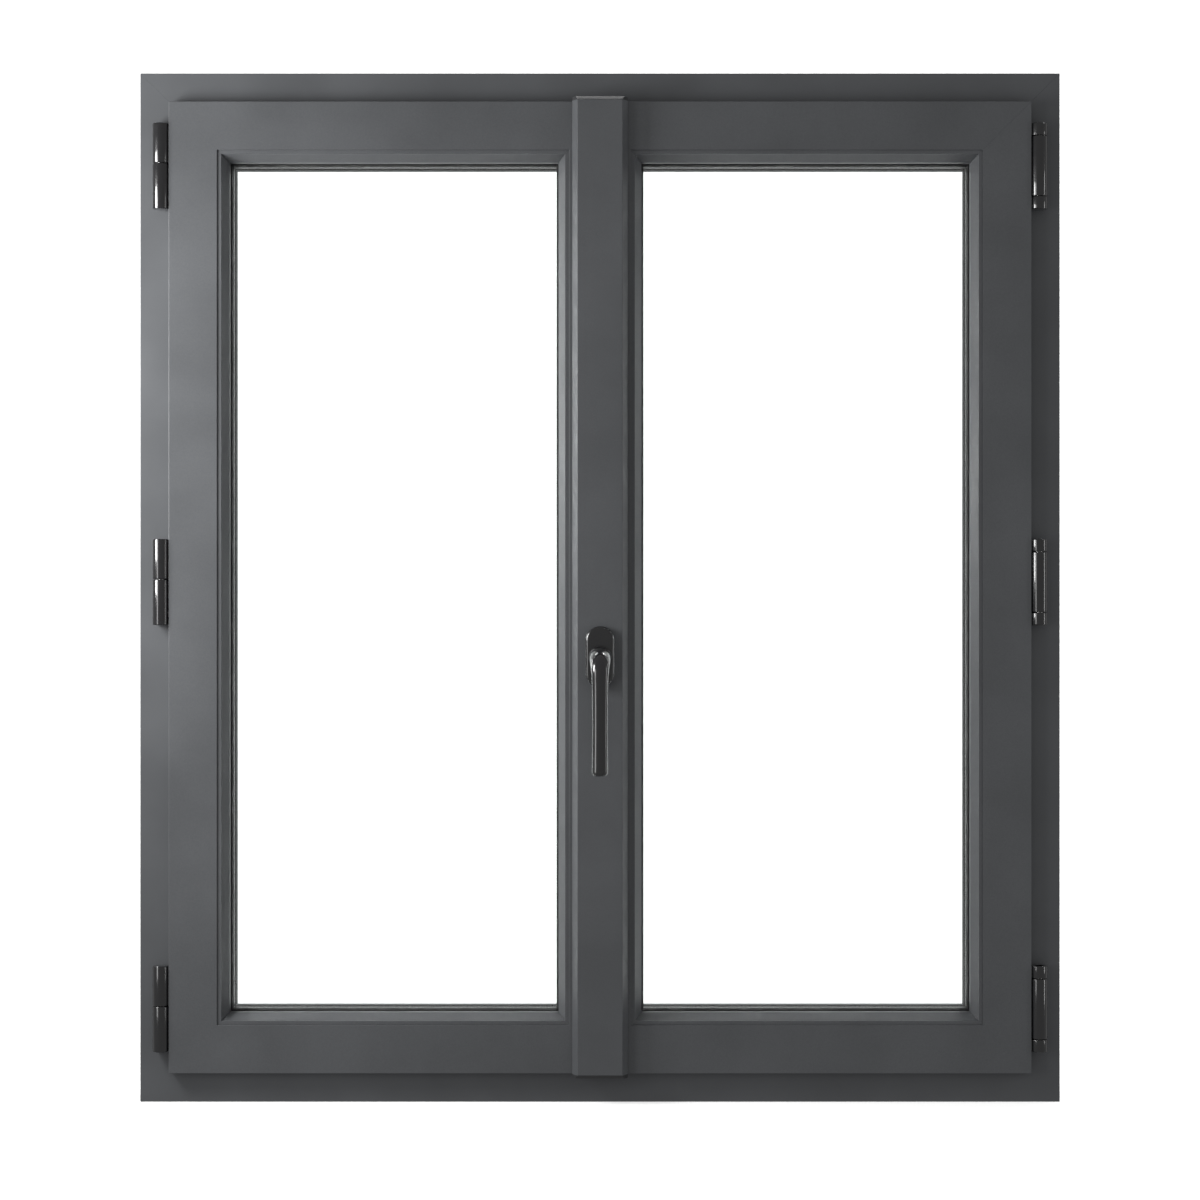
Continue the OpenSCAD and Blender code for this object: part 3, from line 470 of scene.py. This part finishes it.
class WINDOW_OT_profiles(bpy.types.Operator):
    """Round the edges of the frame and leaf profiles, beads, batten and cover strip"""
    bl_idname = "window.profiles"
    bl_label = "Profiles"

    def execute(self, context):
        shape = context.scene.window_shape
        for nodes, radius in (
            (PROFILE_NODES, shape.profile_edge),
            (BEAD_NODES, shape.bead_edge),
            (COVER_NODES, shape.cover_edge),
        ):
            for node in nodes:
                edged_piece(node, radius)
        return {"FINISHED"}


def hinge_rows(node):
    """The low and high ends of each solid of a hinge node, from its vertices along Z."""
    levels = sorted({round(v.co.z, 5) for v in NODES[node].data.vertices})
    rows = [[levels[0], levels[0]]]
    for level in levels[1:]:
        if level - rows[-1][1] > SPLIT_HEIGHT:
            rows.append([level, level])
        rows[-1][1] = level
    return rows


def hinge_axis(side):
    place = joint(side + "_leaf_swing")["pos_m"]
    return place[0], place[1]


def add_foot(bm, x, y, low, high):
    """The flat foot between a frame knuckle and the frame's face."""
    add_box(
        bm, (x - FOOT_HALF_WIDTH, y + FOOT_SETBACK, low + END_STEP),
        (x + FOOT_HALF_WIDTH, FOOT_BACK_Y, high - END_STEP), BLOCK_EDGE)


def add_leaf_plate(bm, x, side, low, high, arms):
    """The plate let into the leaf's edge, with the arms that carry its knuckles."""
    box_low, box_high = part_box(side + "_hinge_leaf_parts")
    inner, outward = (box_high.x, -1) if side == "left" else (box_low.x, 1)
    edge = inner + outward * LEAF_PLATE_THICKNESS
    y0, y1 = LEAF_PLATE_Y
    add_box(bm, (min(inner, edge), y0, low), (max(inner, edge), y1, high), LEAF_PLATE_EDGE)
    for arm_low, arm_high in arms:
        add_box(
            bm, (min(inner, x), y0 + ARM_STEP, arm_low + END_STEP),
            (max(inner, x), y1 - ARM_STEP, arm_high - END_STEP), BLOCK_EDGE)


def knuckles(side, low, high):
    """The stretches of a leaf part's barrel: one on the left, two on the right."""
    fixed = [row for row in hinge_rows(side + "_hinge_frame_parts")
             if low - 10 * MM < row[1] < high + 10 * MM]
    stretches = [(fixed[0][1] + KNUCKLE_GAP, high)]
    if side == "right":
        stretches.append((low, fixed[0][0] - KNUCKLE_GAP))
    return stretches


class WINDOW_OT_hinges(bpy.types.Operator):
    """Turn the knuckles of the six barrel hinges, with their feet and plates"""
    bl_idname = "window.hinges"
    bl_label = "Hinges"

    def execute(self, context):
        radius = context.scene.window_shape.barrel_edge
        for side in ("left", "right"):
            x, y = hinge_axis(side)
            frame_node, leaf_node = side + "_hinge_frame_parts", side + "_hinge_leaf_parts"
            box_low, box_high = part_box(frame_node)
            across = (box_high.x - box_low.x) / 2
            fixed, moving = bmesh.new(), bmesh.new()
            for low, high in hinge_rows(frame_node):
                add_barrel(fixed, x, y, low, high, across, radius)
                add_foot(fixed, x, y, low, high)
            for low, high in hinge_rows(leaf_node):
                arms = knuckles(side, low, high)
                for arm in arms:
                    add_barrel(moving, x, y, *arm, across, radius)
                add_leaf_plate(moving, x, side, low, high, arms)
            for bm, node in ((fixed, frame_node), (moving, leaf_node)):
                keep_sharp(bm, 40)
                piece_from(bm, node, "black_hinge")
        return {"FINISHED"}


class WINDOW_OT_handle(bpy.types.Operator):
    """Shape the handle's plate and its swept lever"""
    bl_idname = "window.handle"
    bl_label = "Handle"

    def execute(self, context):
        shape = context.scene.window_shape
        make_plate(shape.plate_edge)
        make_lever(shape.grip_width, shape.grip_thickness)
        return {"FINISHED"}


def make_plate(radius):
    low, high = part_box("handle_plate")
    across = (high.x - low.x) / 2
    reach = (high.z - low.z) / 2 - across
    centre = (low + high) / 2
    bm = bmesh.new()
    turn = Matrix.Rotation(math.radians(90), 4, "X")
    made = bmesh.ops.create_circle(bm, cap_ends=True, segments=96, radius=across, matrix=turn)
    for sign in (-1, 1):
        half = [v for v in made["verts"] if v.co.z * sign > 0.01 * MM]
        bmesh.ops.translate(bm, verts=half, vec=(0, 0, sign * reach))
    bmesh.ops.translate(bm, verts=bm.verts, vec=(centre.x, high.y, centre.z))
    grown = bmesh.ops.extrude_face_region(bm, geom=list(bm.faces))
    front = [v for v in grown["geom"] if isinstance(v, bmesh.types.BMVert)]
    bmesh.ops.translate(bm, verts=front, vec=(0, low.y - high.y, 0))
    rim = [e for e in bm.edges if all(abs(v.co.y - low.y) < 0.001 * MM for v in e.verts)]
    round_edges(bm, rim, radius, 6)
    bmesh.ops.recalc_face_normals(bm, faces=bm.faces)
    keep_sharp(bm, 40)
    piece_from(bm, "handle_plate", "black_handle")


def lever_station(t, start, corner, tip):
    """A point of the lever's middle line and its slope, at a share of the line."""
    if t < BEND_END:
        angle = t / BEND_END * math.pi / 2
        y = start.y + (corner.y - start.y) * math.sin(angle)
        z = corner.z + (start.z - corner.z) * math.cos(angle)
        return Vector((start.x, y, z)), math.pi / 2 + angle
    share = (t - BEND_END) / (1 - BEND_END)
    y = corner.y + GRIP_BOW * math.sin(math.pi * share)
    z = corner.z + (tip.z - corner.z) * share
    return Vector((start.x, y, z)), math.pi


def make_lever(width, thickness):
    low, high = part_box("handle_lever")
    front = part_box("handle_plate")[0].y - PLATE_CLEARANCE
    axis = Vector((0, 0, joint("handle_turn")["pos_m"][2]))
    start = Vector((axis.x, front - NECK_LENGTH, axis.z))
    corner = Vector((axis.x, low.y + thickness / 2, axis.z - BEND_DROP))
    tip = Vector((axis.x, low.y + thickness / 2, low.z))
    bm = bmesh.new()
    rings = []

    def ring(centre, slope, half_width, half_depth):
        turn = Matrix.Rotation(slope, 4, "X")
        size = Matrix.Diagonal((half_width, half_depth, 1, 1))
        place = Matrix.Translation(centre) @ turn @ size
        made = bmesh.ops.create_circle(
            bm, cap_ends=False, segments=40, radius=1, matrix=place)
        rings.append(made["verts"])

    for y, half in (
        (high.y - HUB_INSET, HUB_RADIUS),
        (front, HUB_RADIUS),
        (front - 0.01 * MM, NECK_RADIUS - 0.8 * MM),
        (front - 0.8 * MM, NECK_RADIUS),
        (front - 5 * MM, NECK_RADIUS - 0.3 * MM),
    ):
        ring(Vector((axis.x, y, axis.z)), math.pi / 2, half, half)
    for i in range(1, LEVER_STEPS + 1):
        t = i / LEVER_STEPS
        centre, slope = lever_station(t, start, corner, tip)
        s = min(t / WIDENING_END, 1)
        blend = s * s * (3 - 2 * s)
        grip = min(max((t - WAIST_START) / (1 - WAIST_START), 0), 1)
        waist = 1 - WAIST_DEPTH * math.sin(math.pi * grip)
        half_width = (NECK_RADIUS * (1 - blend) + width / 2 * blend) * waist
        half_depth = (NECK_RADIUS * (1 - blend) + thickness / 2 * blend) * waist
        if centre.z - tip.z < TIP_LENGTH:
            break
        ring(centre, slope, half_width, half_depth)
    for i in range(TIP_STEPS):
        angle = i / TIP_STEPS * math.pi / 2
        z = tip.z + TIP_LENGTH * (1 - math.sin(angle))
        fade = math.sqrt(math.cos(angle))
        ring(Vector((axis.x, tip.y, z)), math.pi, half_width * fade, half_depth * fade)
    for first, second in zip(rings, rings[1:]):
        edges = [e for e in bm.edges if len(e.link_faces) < 2
                 and (all(v in first for v in e.verts) or all(v in second for v in e.verts))]
        bmesh.ops.bridge_loops(bm, edges=edges)
    for end in (rings[0], rings[-1]):
        bmesh.ops.holes_fill(bm, edges=list({e for v in end for e in v.link_edges}), sides=0)
    bmesh.ops.recalc_face_normals(bm, faces=bm.faces)
    keep_sharp(bm, 50)
    piece_from(bm, "handle_lever", "black_handle")


def area_light(name, height, power):
    place, aim, size = LAMPS[name]
    light = bpy.data.lights.new(name, "AREA")
    light.shape = "RECTANGLE"
    light.size, light.size_y = size
    light.energy = power
    lamp = bpy.data.objects.new(name, light)
    bpy.context.scene.collection.objects.link(lamp)
    lamp.location = Vector(place) + Vector((0, 0, height))
    lamp.rotation_euler = (Vector(aim) - Vector(place)).to_track_quat("-Z", "Y").to_euler()


def make_sweep(glow):
    """A pale floor that curves up into a backdrop behind the window."""
    bm = bmesh.new()
    front, back, radius, top, half = -6.0, 1.6, 0.8, 6.0, 6.0
    corner = bm.verts.new((-half, front, 0))
    foot = bm.verts.new((-half, back, 0))
    bm.edges.new((corner, foot))
    bmesh.ops.spin(
        bm, geom=[foot], cent=(-half, back, radius), axis=(1, 0, 0), dvec=(0, 0, 0),
        angle=math.pi / 2, steps=24, use_merge=False)
    last = max(bm.verts, key=lambda v: v.co.z)
    grown = bmesh.ops.extrude_vert_indiv(bm, verts=[last])
    bmesh.ops.translate(bm, verts=grown["verts"], vec=(0, 0, top))
    wide = bmesh.ops.extrude_edge_only(bm, edges=list(bm.edges))
    moved = [v for v in wide["geom"] if isinstance(v, bmesh.types.BMVert)]
    bmesh.ops.translate(bm, verts=moved, vec=(2 * half, 0, 0))
    bmesh.ops.recalc_face_normals(bm, faces=bm.faces)
    floor = min(bm.faces, key=lambda face: face.calc_center_median().z)
    if floor.normal.z < 0:
        bmesh.ops.reverse_faces(bm, faces=bm.faces)
    for face in bm.faces:
        face.smooth = True
    mesh = bpy.data.meshes.new("studio_sweep")
    bm.to_mesh(mesh)
    bm.free()
    sweep = bpy.data.objects.new("studio_sweep", mesh)
    bpy.context.scene.collection.objects.link(sweep)
    material, tree, shader = new_material("studio_white", (0.93, 0.93, 0.92, 1), 0.9)
    shader.inputs["Emission Color"].default_value = (1, 1, 1, 1)
    shader.inputs["Emission Strength"].default_value = glow
    # Its back is clear, so that a camera behind it still sees the window.
    sides = tree.nodes.new("ShaderNodeNewGeometry")
    clear = tree.nodes.new("ShaderNodeBsdfTransparent")
    mix = tree.nodes.new("ShaderNodeMixShader")
    output = next(node for node in tree.nodes if node.type == "OUTPUT_MATERIAL")
    tree.links.new(sides.outputs["Backfacing"], mix.inputs[0])
    tree.links.new(shader.outputs[0], mix.inputs[1])
    tree.links.new(clear.outputs[0], mix.inputs[2])
    tree.links.new(mix.outputs[0], output.inputs["Surface"])
    mesh.materials.append(material)
    sweep.visible_diffuse = False
    sweep.visible_glossy = False


def make_sky(strength):
    """A sky that is white to the camera, also through glass, and dimmer as a light."""
    world = bpy.data.worlds.new("studio")
    bpy.context.scene.world = world
    world.use_nodes = True
    tree = world.node_tree
    path = tree.nodes.new("ShaderNodeLightPath")
    seen = tree.nodes.new("ShaderNodeMath")
    seen.operation = "MAXIMUM"
    tree.links.new(path.outputs["Is Camera Ray"], seen.inputs[0])
    tree.links.new(path.outputs["Is Transmission Ray"], seen.inputs[1])
    brightest = tree.nodes.new("ShaderNodeMath")
    brightest.operation = "MAXIMUM"
    tree.links.new(seen.outputs[0], brightest.inputs[0])
    brightest.inputs[1].default_value = strength
    background = tree.nodes["Background"]
    background.inputs["Color"].default_value = (1, 1, 1, 1)
    tree.links.new(brightest.outputs[0], background.inputs["Strength"])


class WINDOW_OT_stage(bpy.types.Operator):
    """Set the floor, lights and camera"""
    bl_idname = "window.stage"
    bl_label = "Stage"

    def execute(self, context):
        studio = context.scene.window_studio
        low, high = CAD_BOX
        mid_z = (low[2] + high[2]) / 2
        make_sweep(studio.floor_glow)
        for name, power in (
            ("key", studio.key_power),
            ("side", studio.side_power),
            ("rim", studio.rim_power),
            ("backdrop", studio.back_power),
        ):
            area_light(name, mid_z, power)
        make_sky(studio.sky_strength)
        camera = bpy.data.cameras.new("camera")
        camera.lens = camera.sensor_width * studio.camera_distance / studio.view_width
        eye = bpy.data.objects.new("camera", camera)
        context.scene.collection.objects.link(eye)
        eye.location = (0, -studio.camera_distance, mid_z - VIEW_DROP)
        eye.rotation_euler = (math.pi / 2, 0, 0)
        context.scene.camera = eye
        context.scene.view_settings.view_transform = "Standard"
        context.scene.view_settings.look = "None"
        return {"FINISHED"}


class WINDOW_PT_panel(bpy.types.Panel):
    bl_idname = "WINDOW_PT_panel"
    bl_label = "Casement Window"
    bl_space_type = "VIEW_3D"
    bl_region_type = "UI"
    bl_category = "Window"

    def draw(self, context):
        for scene_name in GROUPS:
            group = getattr(context.scene, scene_name)
            box = self.layout.box()
            for name in group.__annotations__:
                box.prop(group, name)
        for operator in OPERATORS:
            self.layout.operator(operator.bl_idname)


GROUPS = {
    "window_finish": WindowFinish,
    "window_shape": WindowShape,
    "window_studio": StudioLight,
}
OPERATORS = (
    WINDOW_OT_finishes,
    WINDOW_OT_profiles,
    WINDOW_OT_hinges,
    WINDOW_OT_handle,
    WINDOW_OT_stage,
)


def register():
    for name, group in GROUPS.items():
        bpy.utils.register_class(group)
        setattr(bpy.types.Scene, name, bpy.props.PointerProperty(type=group))
    for cls in (*OPERATORS, WINDOW_PT_panel):
        bpy.utils.register_class(cls)


def unregister():
    for cls in (*OPERATORS, WINDOW_PT_panel):
        bpy.utils.unregister_class(cls)
    for name, group in GROUPS.items():
        delattr(bpy.types.Scene, name)
        bpy.utils.unregister_class(group)


def main():
    register()
    bpy.ops.window.finishes()
    bpy.ops.window.profiles()
    bpy.ops.window.hinges()
    bpy.ops.window.handle()
    bpy.ops.window.stage()


if __name__ == "__main__":
    main()
